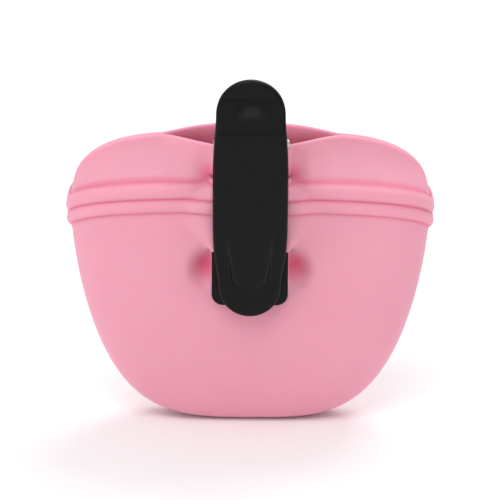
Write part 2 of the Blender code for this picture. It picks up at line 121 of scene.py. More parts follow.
# How far those runs of rows keep from the levels that bound them.
STRAP_MARGINS, RIB_MARGINS, LIP_MARGINS = (0.0026, 0.0008), (0.0005, 0.0002), (0.0008, 0.0010, 0.0001)
MAGNET_COLUMNS = (0.00028, 0.0048, 0.00028)
STRAP_COLUMNS = (0.0052, 0.0133, 0.0009)
PASS_COLUMNS = 5
DENT_COLUMNS = (0.0164, 0.026, 0.0009)
WALL_COLUMNS = (0.027, 0.0505, 0.0014)
END_DEPTHS = (0.78, 0.0, 14)  # first and last share of the depth, and their number

# --- Magnets -------------------------------------------------------------------------------------------
MAGNET_LEVEL = 0.0850
MAGNET_RADIUS = 0.0028
MAGNET_THICKNESS = 0.0008
MAGNET_SUNK = 0.0002  # how far its face lies below the wall's
POCKET_DEPTH = 0.0012
POCKET_WALL = (0.00265, 0.00315)  # radii between which the pocket's side falls
POCKET_RING = (0.0036, 0.0007, 0.00025)  # radius, half width and height of the ring round it
POCKET_REACH = 0.004
MAGNET_EDGE, MAGNET_EDGE_STEPS = 0.00018, 5
MAGNET_CENTRE = 0.02  # share of the radius where the flat faces begin

# --- Clip ----------------------------------------------------------------------------------------------
PIN = np.array((0.0, 0.024, 0.108))
PIN_RADIUS = 0.0015
PIN_ENDS = (-0.0136, 0.0130)
EAR_HOLE_RADIUS = 0.0016
EAR_RADIUS = 0.0036
EAR_EDGE, EAR_AROUND = 0.0003, 96
# Distances from the pin's end, and the share of its radius there.
PIN_DOME = ((0.0, 0.02), (0.00005, 0.55), (0.00018, 0.80), (0.00035, 0.93), (0.0006, 1.0))
PLATE_IN, PLATE_OUT = 0.0171, 0.0193
PLATE_FOOT_Z, PLATE_SHOULDER_Z, PLATE_TOP_Z = 0.0470, 0.0673, 0.1240
PLATE_BEND_Z, PLATE_LEAN = 0.112, 0.14
FOOT_HALF_WIDTH, FOOT_CORNER = 0.01345, 0.004
SHOULDER_CORNER, NECK_RISE = 0.0009, 0.00054
CORNER_STEPS, SHOULDER_STEPS, ARCH_STEPS = 14, 6, 40
PLATE_HALF_WIDTH = 0.0122
PLATE_ROUNDING, PLATE_GRID = (0.0006, 0.0006), 0.0009
PLATE_EARS = (0.0074, 0.0098)
LEVER_EARS = (0.0104, 0.0127)
LEVER_TIP_Z, LEVER_TOP_Z = 0.0444, 0.1313
LEVER_TOP_RADIUS, LEVER_TIP_RADIUS = 0.0121, 0.0109
LEVER_WIDEST_Z, LEVER_HALF_WIDTH = 0.095, 0.0131
LEVER_UPPER_POWER, LEVER_LOWER_POWER = 1.6, 2.76
LEVER_OUT, LEVER_THICKNESS = 0.0310, 0.0026
LEVER_LEAN, LEVER_LEAN_END_Z = 0.0068, 0.048
LEVER_ROUNDING, LEVER_GRID = (0.0011, 0.0005), 0.00042
LEVER_ARC_STEPS, LEVER_SIDE_STEPS = 36, 130
CREASE_Z, CAP_Z, CAP_Y = 0.1133, 0.1245, 0.0268
CREASE_ROUNDING = 0.0011
TONGUE_TOP_Z, TONGUE_END_Z = 0.086, 0.0555
TONGUE_HALF_WIDTHS = (0.0088, 0.0058)
TONGUE_FALL, TONGUE_DOME, TONGUE_END_BOW = 0.0014, 0.0022, 0.0030
TONGUE_SIDE, TONGUE_END = (-0.0006, 0.0010), (-0.0010, 0.0006)  # where its edges fall to the arm
JAW_Z, JAW_HALF_HEIGHT, JAW_Y = 0.0510, 0.0030, 0.01965
JAW_ENDS = (0.0075, 0.0095)
SCOOP_TOP_Z, SCOOP_HALF_WIDTH, SCOOP_DEPTH, SCOOP_LENGTH = 0.1236, 0.0052, 0.0006, 0.0060
SCOOP_BOW, SCOOP_STEP, SCOOP_FLOOR = 0.0016, (-0.0001, 0.0005), 0.0006
SCOOP_SIDES = (0.2 * SCOOP_HALF_WIDTH, 1.2 * SCOOP_HALF_WIDTH)

# --- Moulded edges -------------------------------------------------------------------------------------
EDGE_ANGLES = (0, 18, 34, 50, 66, 80, 90)  # degrees round a moulded edge
GRID_ROW_SHARE = 0.87  # rows of a grid of even triangles lie this share of its step apart
GRID_CLEARANCE = 0.4  # share of a step kept free between the rounded edge and the grid
MERGE_DISTANCE = 1e-8
OUTLINE_STEP = 0.0005
CRISP_ANGLE = 40  # degrees above which an edge between two faces of the clip stays crisp

# --- Spring --------------------------------------------------------------------------------------------
SPRING_RADIUS = 0.00275
WIRE_RADIUS = 0.0005
SPRING_HALF_LENGTH = 0.0052
SPRING_TURNS, STEPS_PER_TURN = 4.5, 40
SPRING_LEG_STEPS = 8
SPRING_LEG_ENDS = ((0.0204, 0.119), (0.0251, 0.1175))
WIRE_CAP = ((0.6, 0.78), (0.9, 0.35))  # shares of the wire's radius along and across its rounded end

# --- Looks -----------------------------------------------------------------------------------------------
# Colours are linear. Clouds are the scale of slow noise, per metre. A roughness is its noise's scale, its
# low and its high; a grain is its noise's scale and detail, its strength and its distance.
SILICONE_CLOUDS = 38.0
SILICONE_ROUGHNESS = (160.0, 0.46, 0.58)
SILICONE_GRAIN = ((1500.0, 4.0, 0.16, 0.00006), (260.0, 2.0, 0.10, 0.00012))
SILICONE_PINKS = ((0.800, 0.350, 0.453, 1.0), (0.814, 0.364, 0.467, 1.0))
SILICONE_SCATTER = (1.0, 0.26, 0.34)  # how far red, green and blue travel, as shares of the scale
# The silicone is painted a deeper, darker pink where it is pinched and shade falls, as painted shade: beside
# the clip's foot, at the upper slit and in the creases along the ribs. A fold is its middle, its radius and
# its strength.
FOOT_PAINTED_SHADE = ((0.0150, -0.0115, -0.0428), 0.0088, 0.80)
SLIT_PAINTED_SHADE = ((0.0132, -0.0115, -0.0116), 0.0078, 1.0)
PAINTED_SHADE_PINK = (0.74, 0.085, 0.200, 1.0)
CREASE_SHADE_TONE, CREASE_SHADE_SPREAD = 0.60, 0.0005
# Painted bounce light: inside the pouch the soft walls pass light on to each other, so the skin there is
# painted a lighter colour.
INSIDE_BOUNCE_PINK = (0.985, 0.430, 0.570, 1.0)
PLASTIC_CLOUDS = 300.0
PLASTIC_ROUGHNESS = (420.0, 0.32, 0.40)
PLASTIC_GRAIN = ((2600.0, 5.0, 0.22, 0.00005),)
PLASTIC_BLACKS = ((0.0020, 0.0020, 0.0022, 1.0), (0.0032, 0.0032, 0.0035, 1.0))
METAL_GRAIN = (4.0, 0.12, 0.00003)  # its noise's scale follows the metal's own
NICKEL_TINTS = ((0.80, 0.77, 0.74, 1.0), (0.88, 0.85, 0.82, 1.0))
STEEL_TINTS = ((0.50, 0.50, 0.51, 1.0), (0.62, 0.62, 0.63, 1.0))
FLOOR_CLOUDS = 3.0
FLOOR_TINTS = ((0.955, 0.955, 0.955, 1.0), (0.97, 0.97, 0.97, 1.0))

# --- Studio --------------------------------------------------------------------------------------------
FLOOR_HALF_SIZE, FLOOR_GAP = 4.0, 0.0002
SKY_STRENGTH = 0.69
LAMPS = (  # name, place, diameter and power
    ("key_behind", (0.20, 0.85, 1.30), 1.1, 9.2),
    ("key_front", (-0.40, -0.95, 1.20), 1.1, 9.8),
    ("side_left", (1.10, 0.62, 0.12), 0.3, 1.5),
)
LAMP_TARGET = (0.0, 0.0, -0.05)
CAMERA_TARGET = (0.0, -0.010, -0.0375)
CAMERA_ELEVATION, CAMERA_ROLL = 18.0, 0.4  # degrees
CAMERA_LENS, CAMERA_SENSOR = 300.0, 36.0  # millimetres
PICTURE_SPAN = 0.176  # how wide the picture is at the pouch


def smooth(value, low, high):
    share = np.clip((value - low) / (high - low), 0.0, 1.0)
    return share * share * (3.0 - 2.0 * share)


# --- Materials -----------------------------------------------------------------------------------------


class Looks:
    """A material's nodes, added one at a time."""

    def __init__(self, name):
        self.material = bpy.data.materials.new(name)
        self.material.use_nodes = True
        self.tree = self.material.node_tree
        self.shader = self.tree.nodes["Principled BSDF"]
        self.place = self.add("ShaderNodeTexCoord").outputs["Object"]

    def add(self, kind, **settings):
        node = self.tree.nodes.new(kind)
        for name, value in settings.items():
            if name in node.inputs:
                node.inputs[name].default_value = value
            else:
                setattr(node, name, value)
        return node

    def link(self, source, target):
        self.tree.links.new(source, target)

    def noise(self, scale, detail=3.0):
        node = self.add("ShaderNodeTexNoise", Scale=scale, Detail=detail)
        self.link(self.place, node.inputs["Vector"])
        return node.outputs["Fac"]

    def tint(self, scale, colours, detail=3.0, places=(0.3, 0.7)):
        """Cloudy change between two colours."""
        node = self.add("ShaderNodeValToRGB")
        for stop, place, colour in zip(node.color_ramp.elements, places, colours):
            stop.position, stop.color = place, colour
        self.link(self.noise(scale, detail), node.inputs["Fac"])
        return node.outputs["Color"]

    def roughness(self, scale, low, high):
        """Cloudy change of roughness between low and high."""
        node = self.add("ShaderNodeMapRange")
        node.inputs["To Min"].default_value = low
        node.inputs["To Max"].default_value = high
        self.link(self.noise(scale), node.inputs["Value"])
        self.link(node.outputs["Result"], self.shader.inputs["Roughness"])

    def closeness(self, spots):
        """A spot's strength at its point and at its mirror image, 0 beyond its radius.

        A spot is (point, radius, strength).
        """
        split = self.add("ShaderNodeSeparateXYZ")
        self.link(self.place, split.inputs["Vector"])
        sideways = self.add("ShaderNodeMath", operation="ABSOLUTE")
        self.link(split.outputs["X"], sideways.inputs[0])
        folded = self.add("ShaderNodeCombineXYZ")
        self.link(sideways.outputs["Value"], folded.inputs["X"])
        self.link(split.outputs["Y"], folded.inputs["Y"])
        self.link(split.outputs["Z"], folded.inputs["Z"])
        total = None
        for point, radius, strength in spots:
            away = self.add("ShaderNodeVectorMath", operation="DISTANCE")
            away.inputs[1].default_value = point
            self.link(folded.outputs["Vector"], away.inputs[0])
            near = self.add("ShaderNodeMapRange", interpolation_type="SMOOTHSTEP")
            near.inputs["From Max"].default_value = radius
            near.inputs["To Min"].default_value = strength
            near.inputs["To Max"].default_value = 0.0
            self.link(away.outputs["Value"], near.inputs["Value"])
            here = near.outputs["Result"]
            total = here if total is None else self.larger(total, here)
        return total

    def larger(self, one, two):
        node = self.add("ShaderNodeMath", operation="MAXIMUM")
        self.link(one, node.inputs[0])
        self.link(two, node.inputs[1])
        return node.outputs["Value"]

    def mark(self, name):
        """The numbers that make_object stored at the points under this name."""
        return self.add("ShaderNodeAttribute", attribute_name=name).outputs["Fac"]

    def mixed(self, share, colour, other):
        """A colour output turned toward another, fixed colour."""
        node = self.add("ShaderNodeMixRGB", Color2=other)
        self.link(share, node.inputs["Fac"])
        self.link(colour, node.inputs["Color1"])
        return node.outputs["Color"]

    def grain(self, *layers):
        """Fine relief of the surface. Layers are (noise scale, detail, strength, distance)."""
        below = None
        for scale, detail, strength, distance in layers:
            node = self.add("ShaderNodeBump", Strength=strength, Distance=distance)
            self.link(self.noise(scale, detail), node.inputs["Height"])
            if below is not None:
                self.link(below, node.inputs["Normal"])
            below = node.outputs["Normal"]
        self.link(below, self.shader.inputs["Normal"])

    def set(self, **values):
        for name, value in values.items():
            self.shader.inputs[name.replace("_", " ")].default_value = value


def silicone_look():
    look = Looks("silicone_pink")
    look.set(
        Subsurface_Weight=0.6,
        Subsurface_Radius=SILICONE_SCATTER,
        Subsurface_Scale=0.0025,
        IOR=1.41,
        Specular_IOR_Level=0.32,
    )
    # Painted shade: a darker, deeper pink beside the clip's foot, at the upper slit and along the rib
    # creases.
    painted_shade = look.larger(look.closeness((FOOT_PAINTED_SHADE, SLIT_PAINTED_SHADE)), look.mark("crease"))
    # folded is the cloudy pink with the painted shade mixed in.
    folded = look.mixed(painted_shade, look.tint(SILICONE_CLOUDS, SILICONE_PINKS, detail=2.0), PAINTED_SHADE_PINK)
    # Painted bounce light: the inner surface, by its inside mark, is painted a lighter pink.
    painted_bounce = look.mixed(look.mark("inside"), folded, INSIDE_BOUNCE_PINK)
    look.link(painted_bounce, look.shader.inputs["Base Color"])
    look.roughness(*SILICONE_ROUGHNESS)
    look.grain(*SILICONE_GRAIN)
    return look.material


def plastic_look():
    look = Looks("clip_black_plastic")
    look.set(Specular_IOR_Level=0.16)
    tint = look.tint(PLASTIC_CLOUDS, PLASTIC_BLACKS, places=(0.35, 0.65))
    look.link(tint, look.shader.inputs["Base Color"])
    look.roughness(*PLASTIC_ROUGHNESS)
    look.grain(*PLASTIC_GRAIN)
    return look.material


def metal_look(name, tints, roughness, scale, metallic):
    look = Looks(name)
    look.set(Metallic=metallic)
    look.link(look.tint(scale, tints), look.shader.inputs["Base Color"])
    look.roughness(scale * 3.0, *roughness)
    look.grain((scale * 6.0, *METAL_GRAIN))
    return look.material


def floor_look():
    look = Looks("pale_floor")
    look.link(look.tint(FLOOR_CLOUDS, FLOOR_TINTS), look.shader.inputs["Base Color"])
    look.set(Roughness=0.8, Specular_IOR_Level=0.1)
    return look.material


SILICONE = silicone_look()
PLASTIC = plastic_look()
NICKEL = metal_look("nickel_plate", NICKEL_TINTS, roughness=(0.36, 0.46), scale=500.0, metallic=0.25)
STEEL = metal_look("drawn_steel", STEEL_TINTS, roughness=(0.34, 0.44), scale=700.0, metallic=1.0)


# --- Meshes --------------------------------------------------------------------------------------------


def make_object(name, points, faces, material, sharp=None, marks=None):
    """An object from points in the pouch's frame.

    sharp is the angle in degrees above which an edge stays crisp. marks are numbers at each point, by name,
    for the material to read.
    """
    mesh = bpy.data.meshes.new(name)
    mesh.from_pydata((np.asarray(points) - BELT_TOP).tolist(), [], faces)
    for mark, values in (marks or {}).items():
        mesh.attributes.new(mark, "FLOAT", "POINT").data.foreach_set("value", values)
    mesh.validate()
    bm = bmesh.new()
    bm.from_mesh(mesh)
    loose = [v for v in bm.verts if not v.link_faces]
    bmesh.ops.delete(bm, geom=loose, context="VERTS")
    bmesh.ops.recalc_face_normals(bm, faces=bm.faces)
    bm.to_mesh(mesh)
    bm.free()
    mesh.shade_smooth()
    if sharp is not None:
        mesh.set_sharp_from_angle(angle=math.radians(sharp))
    made = bpy.data.objects.new(name, mesh)
    bpy.context.scene.collection.objects.link(made)
    made.data.materials.append(material)
    return made


def rings_object(name, rings, material, sharp=None, closed=False):
    """A skin over closed rings of points. The ends are capped, unless the last ring joins the first."""
    rings = np.asarray(rings)
    count, around = rings.shape[:2]
    faces = []
    for row in range(count if closed else count - 1):
        above = (row + 1) % count
        for k in range(around):
            step = (k + 1) % around
            faces.append((row * around + k, row * around + step, above * around + step, above * around + k))
    if not closed:
        faces.append(tuple(range(around)))
        faces.append(tuple((count - 1) * around + k for k in range(around)))
    return make_object(name, rings.reshape(-1, 3), faces, material, sharp)


def turned(name, start, axis, profile, material, around=64, sharp=30):
    """A turned solid. profile is (distance along the axis, radius) from one end to the other."""
    axis = Vector(axis).normalized()
    side = axis.orthogonal().normalized()
    other = axis.cross(side)
    rings = []
    for along, radius in profile:
        middle = Vector(start) + axis * along
        ring = []
        for k in range(around):
            angle = 2 * math.pi * k / around
            ring.append(middle + (side * math.cos(angle) + other * math.sin(angle)) * radius)
        rings.append(ring)
    return rings_object(name, rings, material, sharp)


def tube(name, path, radius, material, around=12):
    """A wire of one radius along a path, with rounded ends."""
    path = [Vector(p) for p in path]
    rings = []
    side = None
    for k, point in enumerate(path):
        before, after = path[max(k - 1, 0)], path[min(k + 1, len(path) - 1)]
        along = (after - before).normalized()
        side = along.orthogonal() if side is None else side - along * side.dot(along)
        side.normalize()
        other = along.cross(side)
        ring = []
        for step in range(around):
            angle = 2 * math.pi * step / around
            ring.append(side * math.cos(angle) + other * math.sin(angle))
        ends = ()
        if k == 0:
            ends = [(-push, share) for push, share in reversed(WIRE_CAP)]
        elif k == len(path) - 1:
            ends = WIRE_CAP
        caps = [[point + along * push * radius + d * radius * share for d in ring] for push, share in ends]
        body = [[point + d * radius for d in ring]]
        rings += caps + body if k == 0 else body + caps
    return rings_object(name, rings, material, sharp=50)


# --- The pouch's surface, as in the CAD, for whole arrays ------------------------------------------------


def fullness(level):
    below = np.maximum(0.0, (WIDE_Z - level) / WIDE_Z)
    return np.sqrt(np.maximum(0.0, 1.0 - below**BOTTOM_POWER))


def half_width(level):
    above = np.maximum(0.0, (level - WIDE_Z) / (LIP_SIDE_Z - WIDE_Z))
    return HALF_WIDTH * fullness(level) ** (2.0 / SIDE_POWER) - LIP_NARROWING * above * above


def level_of_width(width):
    return WIDE_Z * (1.0 - (1.0 - (width / HALF_WIDTH) ** SIDE_POWER) ** (1.0 / BOTTOM_POWER))


def ring_height(level, c):
    c = np.abs(c)
    above = (np.maximum(0.0, level - LIP_RISE_Z) / (LIP_SIDE_Z - LIP_RISE_Z)) ** LIP_RISE_POWER
    lip_rise = TOP_Z - LIP_SIDE_Z
    rise = RING_RISE * np.sin(np.pi / 2 * np.minimum(1.0, level / RING_RISE_FULL_Z))
    rise = rise + (lip_rise - RING_RISE) * above
    body_arch = (1.0 - c**SECTION_POWER) ** (ARCH_POWER / SECTION_POWER)
    lip_arch = (1.0 - c ** LIP_ARCH_POWERS[0]) ** LIP_ARCH_POWERS[1]
    return level + rise * ((1.0 - above) * body_arch + above * lip_arch)


def rib(level):
    """Height of the ribs, averaged over a short span so that they have a fillet at their feet."""
    total = 0.0
    shifts = np.linspace(-1.0, 1.0, BLUR_STEPS) * RIB_FILLET
    for centre, half_height in RIBS:
        for shift in shifts:
            off = (level + shift - centre) / half_height
            total = total + RIB_HEIGHT * np.maximum(0.0, 1.0 - off * off) ** RIB_ROUND_POWER / len(shifts)
    crease_level, crease_half_height, crease_depth = RIB_CREASE
    off = (level - crease_level) / crease_half_height
    return total - crease_depth * np.maximum(0.0, 1.0 - off * off)


def ring_x(level, c, inset):
    width = half_width(level) - inset
    steady = smooth(level, *STEADY_LEVELS) * (1.0 - smooth(np.abs(c), *STEADY_SHARES))
    return c * (width + (HALF_WIDTH - width) * steady)


def lip_bow(x, back):
    behind = (BACK_MOUTH_HALF_WIDTH - np.abs(x)) / (BACK_MOUTH_HALF_WIDTH - BACK_FLAT_HALF_WIDTH)
    front = 1.0 - (x / FRONT_MOUTH_HALF_WIDTH) ** 2
    share = np.clip(np.where(back > 0, behind, front), 0.0, 1.0)
    return share + LIP_SOFTNESS * (smooth(share, 0.0, 1.0) - share)


def clip_shift(x, y, z, level, strap):
    share = np.clip((level - SLIT_LOW_Z) / (SLIT_HIGH_Z - SLIT_LOW_Z), 0.0, 1.0)
    reach = SLIT_HALF_WIDTH + STRAP_SPREAD * np.sin(np.pi * share)
    on_strap = (STRAP_Y - y) * (1.0 - smooth(np.abs(x), PASS_HALF_WIDTH, reach))
    low = level < SLIT_LOW_Z
    below_reach = SLIT_HALF_WIDTH + DENT_SPREAD * smooth(SLIT_LOW_Z - level, 0.0, DENT_BELOW_SLIT)
    above_reach = SLIT_HALF_WIDTH + STRAP_SPREAD * smooth(level - SLIT_HIGH_Z, 0.0, DENT_ABOVE_SLIT)
    fade = np.where(low, smooth(z, *DENT_FADE_Z), 1.0)
    reach = np.where(low, below_reach, above_reach)
    on_wall = np.minimum(0.0, SEAT_Y - y) * fade * (1.0 - smooth(np.abs(x), PASS_HALF_WIDTH, reach))
    return np.where(strap, on_strap, on_wall)


def dimple(x, z):
    """How far the back wall is drawn in beside the clip."""
    total = 0.0
    for across, up, half_wide, half_high, depth in (FOOT_DIMPLE, SLIT_DIMPLE):
        away = ((np.abs(x) - across) / half_wide) ** 2 + ((z - up) / half_high) ** 2
        total = total + depth * np.maximum(0.0, 1.0 - away) ** 2
    return total * smooth(np.abs(x), PASS_HALF_WIDTH, SLIT_HALF_WIDTH)


def wave(x, z, back):
    """Slow unevenness of the soft walls, away from the clip, the ribs and the rim."""
    ripple = sum(share * np.sin(kx * x + kz * z + shift * back) for share, kx, kz, shift in WAVES)
    clear = np.where(back > 0, smooth(np.abs(x), *WAVE_CLEAR_OF_CLIP), 1.0)
    return WAVE_HEIGHT * ripple * clear * smooth(z, *WAVE_FADE_Z)


def pouch_points(level, c, back, inside, strap):
    """Points of the outer or inner surface, for arrays that broadcast together."""
    inset = WALL if inside else 0.0
    x = ring_x(level, c, inset)
    edge = np.abs(c)
    depth = BELLY_DEPTH * fullness(level) ** DEPTH_POWER - inset
    belly = depth * (1.0 - edge**SECTION_POWER) ** (1.0 / SECTION_POWER)
    lip_y = np.where(back > 0, BACK_LIP_Y, FRONT_LIP_Y)
    lip = (LIP_HALF_THICKNESS - inset) * np.sqrt(1.0 - edge**LIP_END_POWER)
    lip = lip + (lip_y - LIP_HALF_THICKNESS) * lip_bow(x, back)
    closing = smooth(level, LIP_START_Z, LIP_SIDE_Z)
    y = belly + (lip - belly) * closing
    z = ring_height(level, c) + inset * (1.0 - smooth(level, 0.0, FLOOR_FADE_LEVEL))
    y = y + np.where(back > 0, clip_shift(x, y + inset, z, level, strap) - dimple(x, z), 0.0)
    y = y + wave(x, z, back) * (1.0 - edge**WAVE_EDGE_POWER)
    if not inside:
        height = rib(level)
        side_on = edge**RIB_SIDE_POWER
        x = x + np.sign(c) * height * side_on
        y = y + height * np.sqrt(np.maximum(0.0, 1.0 - side_on * side_on))
    return np.stack(np.broadcast_arrays(x, back * y, z), axis=-1)


def skin_levels():
    """Level of every row: wide steps over the belly, fine ones at the slits, the ribs and the lips."""
    levels = [level_of_width(width) for width in np.arange(*BOTTOM_WIDTHS)]
    levels += list(np.arange(levels[-1] + BELLY_STEP, SLIT_LOW_Z - 2 * BELLY_STEP, BELLY_STEP))
    levels += [SLIT_LOW_Z + shift for shift in SLIT_ROWS]
    rib_start = RIBS[0][0] - RIBS[0][1] - RIB_MARGINS[0]
    rib_end = RIBS[1][0] + RIBS[1][1] + RIB_MARGINS[1]
    levels += list(np.linspace(SLIT_LOW_Z + STRAP_MARGINS[0], rib_start - STRAP_MARGINS[1], STRAP_ROWS))
    levels += list(np.linspace(rib_start, rib_end, RIB_ROWS))
    levels += [SLIT_HIGH_Z, SLIT_HIGH_Z + LIP_MARGINS[0]]
    rim = LIP_SIDE_Z - RIM_DROP
    levels += list(np.arange(SLIT_HIGH_Z + LIP_MARGINS[1], rim - LIP_MARGINS[2], LIP_STEP))
    levels += [rim]
    return np.array(levels)


def skin_columns():
    """c of every column: fine at the magnets, even over the walls, and even in depth round each end."""
    places = list(np.arange(*MAGNET_COLUMNS)) + list(np.arange(*STRAP_COLUMNS))
    places += list(np.linspace(PASS_HALF_WIDTH, SLIT_HALF_WIDTH, PASS_COLUMNS))
    places += list(np.arange(*DENT_COLUMNS)) + list(np.arange(*WALL_COLUMNS))
    ends = [(1.0 - depth**SECTION_POWER) ** (1.0 / SECTION_POWER) for depth in np.linspace(*END_DEPTHS)]
    half = [place / HALF_WIDTH for place in places] + ends
    return np.array([-c for c in reversed(half)] + [0.0] + half)


def wall_frame(back):
    """Middle of the inner face at the magnet, and the direction into the wall there."""
    step = 0.001
    spots = [
        pouch_points(np.array(MAGNET_LEVEL + shift), np.array(0.0), np.array(back), True, False)
        for shift in (-step, 0.0, step)
    ]
    up = Vector(spots[2] - spots[0]).normalized()
    into = Vector((1.0, 0.0, 0.0)).cross(up).normalized()
    if into.y * back < 0:
        into = -into
    return Vector(spots[1]), into


def sink_pocket(points, back):
    """Push the inner surface into the wall where the magnet sits, with a small ring standing round it."""
    middle, into = (np.array(v) for v in wall_frame(back))
    away = points - middle
    deep = away @ into
    radius = np.sqrt(np.maximum(0.0, (away**2).sum(-1) - deep**2))
    ring_radius, ring_half, ring_rise = POCKET_RING
    push = POCKET_DEPTH * (1.0 - smooth(radius, *POCKET_WALL))
    push = push - ring_rise * np.maximum(0.0, 1.0 - ((radius - ring_radius) / ring_half) ** 2) ** 2
    near = (np.abs(deep) < POCKET_REACH) & (points[..., 1] * back > 0)
    return points + np.where(near, push, 0.0)[..., None] * into


def crease_shade_mark(level):
    """Painted shade in the creases along the ribs: how much darker and deeper pink the silicone is painted
    there.
    """
    creases = [RIBS[0][0] - RIBS[0][1], RIBS[0][0] + RIBS[0][1], RIBS[1][0] + RIBS[1][1]]
    return CREASE_SHADE_TONE * sum(np.exp(-(((level - crease) / CREASE_SHADE_SPREAD) ** 2)) for crease in creases)


def make_skin():
    """The whole pouch as one closed skin, with its strap, slits, rim and magnet pockets."""
    levels = skin_levels()
    across = skin_columns()
    c = np.concatenate([across, across[-2:0:-1]])
    back = np.concatenate([-np.ones(len(across)), np.ones(len(across) - 2)])
    rows, columns = len(levels), len(c)
    low = int(np.argmin(np.abs(levels - SLIT_LOW_Z)))
    high = int(np.argmin(np.abs(levels - SLIT_HIGH_Z)))
    split = (back > 0) & (np.abs(c) < SLIT_HALF_WIDTH / HALF_WIDTH - 1e-6)
    opening = SLIT_OPENING * (1.0 - smooth(np.abs(c) * HALF_WIDTH, 0.5 * SLIT_HALF_WIDTH, SLIT_HALF_WIDTH))

    points, crease, painted_bounce, ids = [], [], [], {}
    total = 0
    for strap in (False, True):
        level = np.repeat(levels[:, None], columns, axis=1)
        turn = 1.0 if strap else -1.0
        level[low] += np.where(split, turn * opening, 0.0)
        level[high] -= np.where(split, turn * opening, 0.0)
        for inside in (False, True):
            grid = pouch_points(level, c[None, :], back[None, :], inside, strap)
            if inside:
                grid = sink_pocket(sink_pocket(grid, 1), -1)
            points.append(grid.reshape(-1, 3))
            # The crease numbers are painted shade along the ribs; the inside numbers are painted bounce
            # light.
            crease.append(np.zeros(rows * columns) if inside else crease_shade_mark(level).ravel())
            painted_bounce.append(np.full(rows * columns, 1.0 if inside else 0.0))
            ids[strap, inside] = total + np.arange(rows * columns).reshape(rows, columns)
            total += rows * columns
    points = list(np.concatenate(points))
    crease = list(np.concatenate(crease))
    painted_bounce = list(np.concatenate(painted_bounce))

    def corner(row, column, on_strap, inside):
        column %= columns
        strap = on_strap if row in (low, high) and split[column] else low < row < high
        return ids[strap, inside][row, column]

    faces = []
    poles = []
    for inside in (False, True):
        poles.append(len(points))
        points.append(np.array((0.0, 0.0, WALL if inside else 0.0)))
        crease.append(0.0)
        painted_bounce.append(1.0 if inside else 0.0)
    for column in range(columns):
        for inside in (False, True):
            here, after = (corner(0, k, False, inside) for k in (column, column + 1))
            faces.append((poles[inside], after, here))
        for row in range(rows - 1):
            on_strap = low <= row < high
            for inside in (False, True):
                around = ((row, column), (row, column + 1), (row + 1, column + 1), (row + 1, column))
                faces.append(tuple(corner(r, k, on_strap, inside) for r, k in around))

    def edge_profile(row, column, on_strap, inward_row, bulge):
        """Ids across an edge from the outer surface to the inner one, rounded by bulge."""
        outer, inner = corner(row, column, on_strap, False), corner(row, column, on_strap, True)
        back_outer = corner(inward_row, column, on_strap, False)
        back_inner = corner(inward_row, column, on_strap, True)
        middle = (points[outer] + points[inner]) / 2
        onward = middle - (points[back_outer] + points[back_inner]) / 2
        onward = onward / np.linalg.norm(onward)
        out = [outer]
        for step in range(1, EDGE_STEPS):
            angle = math.pi * step / EDGE_STEPS
            out.append(len(points))
            spot = middle + (points[outer] - middle) * math.cos(angle) + onward * bulge * math.sin(angle)
            points.append(spot)
            # No painted shade on the rim; the painted bounce light fades out across its round edge.
            crease.append(0.0)
            painted_bounce.append(step / EDGE_STEPS)
        return out + [inner]

    def strip(profiles):
        for one, two in zip(profiles, profiles[1:]):
            for k in range(EDGE_STEPS):
                faces.append((one[k], two[k], two[k + 1], one[k + 1]))

    rim = [edge_profile(rows - 1, column, False, rows - 2, RIM_BULGE) for column in range(columns)]
    strip(rim + rim[:1])

    slit_columns = [int(k) for k in np.flatnonzero(split)]
    first, last = slit_columns[0] - 1, slit_columns[-1] + 1
    fade = opening / SLIT_OPENING
    for row in (low, high):
        ends = {end: edge_profile(row, end, False, row - 1, 0.0) for end in (first, last)}
        for on_strap in (False, True):
            toward = 1 if (row == low) == on_strap else -1
            profiles = [
                edge_profile(row, k, on_strap, row + toward, SLIT_BULGE * fade[k]) for k in slit_columns
            ]
            strip([ends[first]] + profiles + [ends[last]])
    # The crease mark carries painted shade, the inside mark painted bounce light.
    skin = make_object("pouch_skin", points, faces, SILICONE, marks={"crease": crease, "inside": painted_bounce})
    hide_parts("pouch_body", "front_lip")
    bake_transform(skin)
    return skin


def make_magnet(name, back, node):
    middle, into = wall_frame(back)
    start = middle + into * MAGNET_SUNK
    edge, centre = MAGNET_EDGE, MAGNET_RADIUS * MAGNET_CENTRE
    profile = [(0.0, centre), (0.0, MAGNET_RADIUS - edge)]
    for step in range(1, MAGNET_EDGE_STEPS):
        angle = math.pi / 2 * step / MAGNET_EDGE_STEPS
        profile.append((edge * (1 - math.cos(angle)), MAGNET_RADIUS - edge * (1 - math.sin(angle))))
    profile += [(edge, MAGNET_RADIUS), (MAGNET_THICKNESS - edge, MAGNET_RADIUS)]
    profile += [(MAGNET_THICKNESS, MAGNET_RADIUS - edge), (MAGNET_THICKNESS, centre)]
    magnet = turned(name, start, into, profile, NICKEL)
    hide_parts(node)
    return magnet


# --- Moulded plates --------------------------------------------------------------------------------------


def inside_outline(spots, outline):
    """Which of the (x, z) spots lie inside a closed outline."""
    x, z = spots[:, :1], spots[:, 1:]
    start, end = outline, np.roll(outline, -1, axis=0)
    crosses = (start[:, 1] > z) != (end[:, 1] > z)
    rise = np.where(end[:, 1] == start[:, 1], 1.0, end[:, 1] - start[:, 1])
    at = start[:, 0] + (end[:, 0] - start[:, 0]) * (z - start[:, 1]) / rise
    return (crosses & (x < at)).sum(1) % 2 == 1


